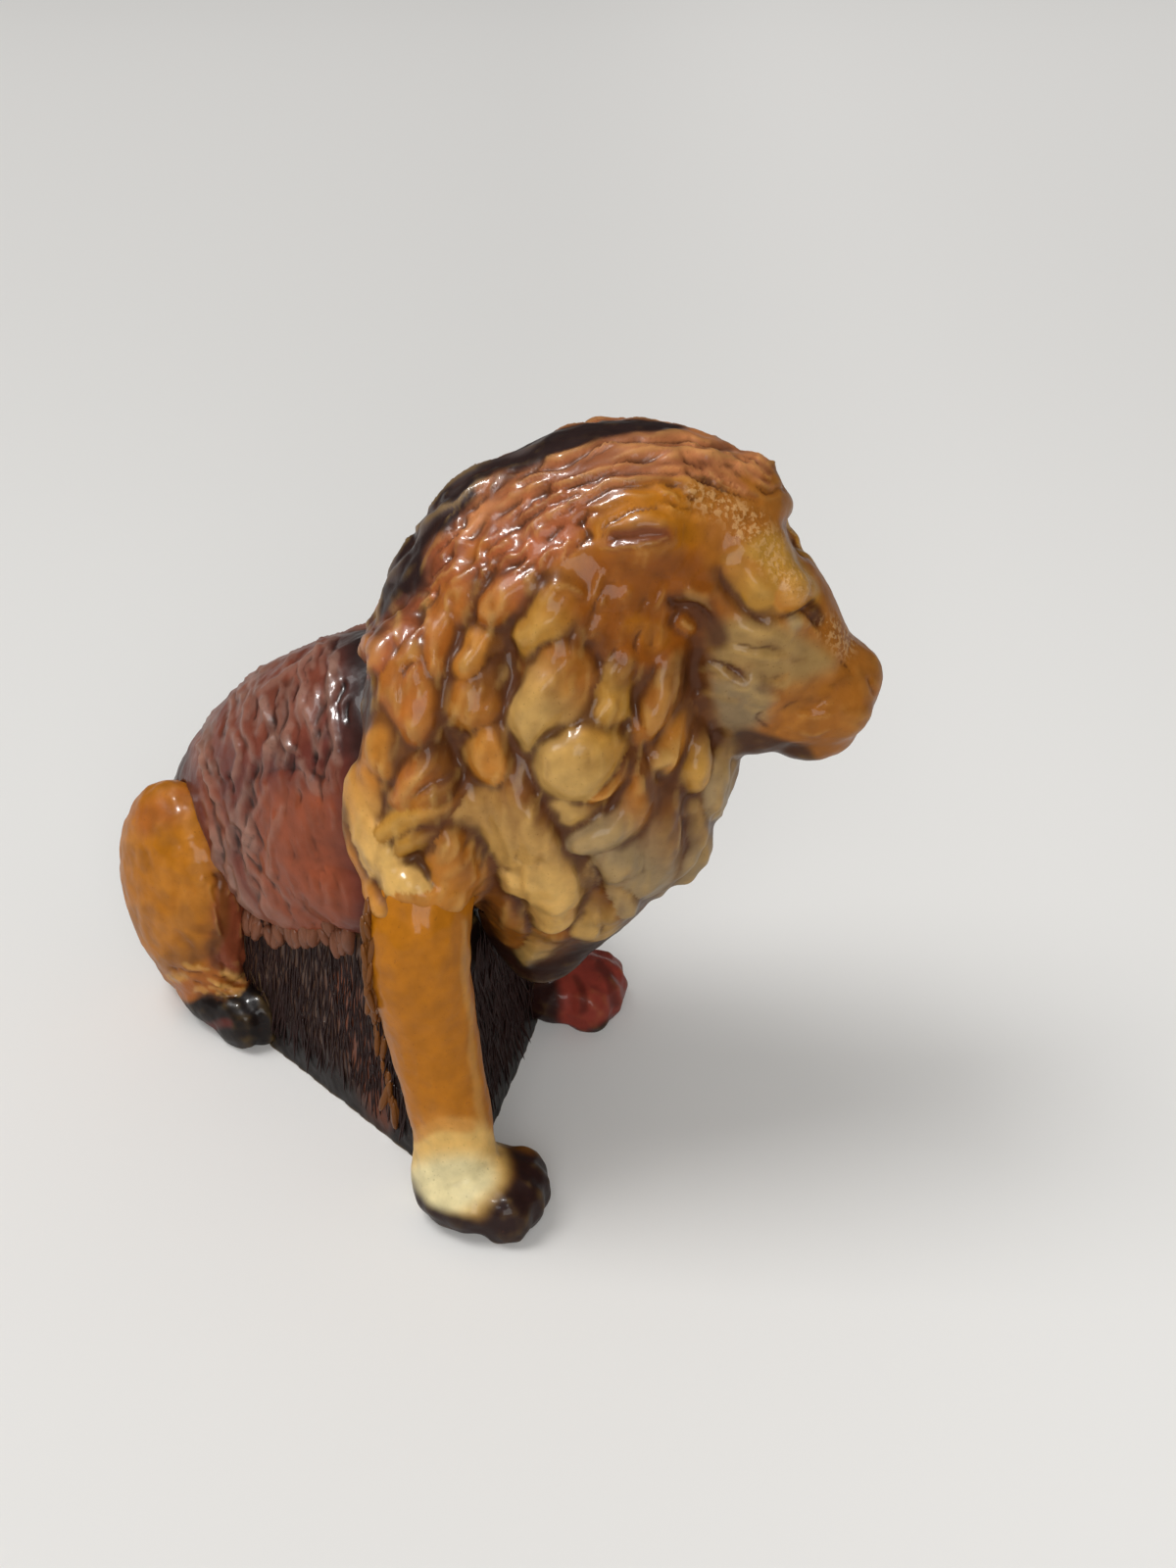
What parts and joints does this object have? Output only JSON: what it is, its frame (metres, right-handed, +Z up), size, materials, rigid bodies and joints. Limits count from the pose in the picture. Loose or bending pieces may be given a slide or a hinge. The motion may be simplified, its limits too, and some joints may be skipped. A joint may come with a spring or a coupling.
{
  "type": "toy lion figure",
  "caption": "Seated toy lion figure with a thick mane of hanging locks, its head turned to its left, straight forelegs and an upright web between the legs.",
  "frame": {"origin": "centre of the figure's outline seen from above, on the plane that its paws and web rest on", "axes": "+Z up, -Y the way the body faces, -X the lion's own right side"},
  "size_m": [0.0616, 0.11, 0.098],
  "materials": {
    "head_coat": "glossy ochre-brown sprayed coat, mottled at the eyes and muzzle",
    "mane_coat": "glossy sprayed coat, orange-brown above and pale ochre below, dark in the creases",
    "ochre_coat": "glossy ochre sprayed coat over dark amber",
    "dark_amber": "glossy translucent dark amber, left bare"
  },
  "bodies": {
    "root": {"head": "head_coat", "mane": "mane_coat", "torso": "dark_amber", "right_foreleg": "ochre_coat", "left_foreleg": "dark_amber", "right_hind_leg": "ochre_coat", "left_hind_leg": "dark_amber", "leg_web": "dark_amber", "tail": "dark_amber"}
  },
  "joints": []
}
